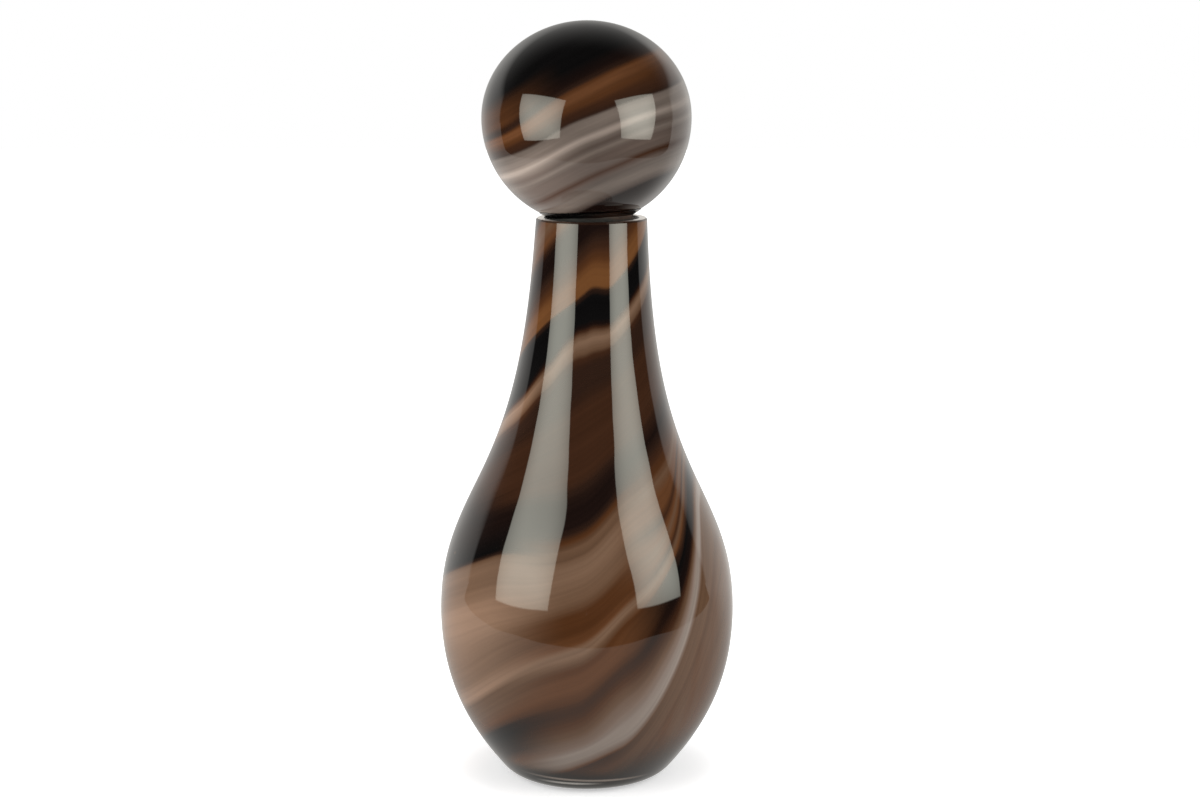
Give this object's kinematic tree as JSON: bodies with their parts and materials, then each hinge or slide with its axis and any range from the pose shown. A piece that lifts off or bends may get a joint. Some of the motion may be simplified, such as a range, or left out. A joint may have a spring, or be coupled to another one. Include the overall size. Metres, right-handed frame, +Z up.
{
  "type": "decorative bottle",
  "caption": "Blown marbled glass bottle with a round belly, a long tapering neck and a lift-out ground stopper topped by a hollow ball.",
  "frame": {"origin": "middle of the foot, on the surface that the bottle stands on", "axes": "+Z up along the bottle, +X to the viewer's right and +Y away from the viewer of the pictured side"},
  "size_m": [0.129, 0.129, 0.3301],
  "materials": {
    "bottle_glass": "polished, opaque brown glass with grey and tan marbling",
    "ball_glass": "polished, opaque brown glass with grey and caramel marbling",
    "plug_glass": "ground and polished dark brown glass"
  },
  "bodies": {
    "bottle": {"bottle_body": "bottle_glass"},
    "stopper": {"stopper_ball": "ball_glass", "stopper_plug": "plug_glass"}
  },
  "joints": [
    {"name": "stopper_lift", "type": "slide", "parent": "bottle", "child": "stopper", "axis": [0.0188, 0, 0.9998], "range_m": [0, 0.06]}
  ]
}
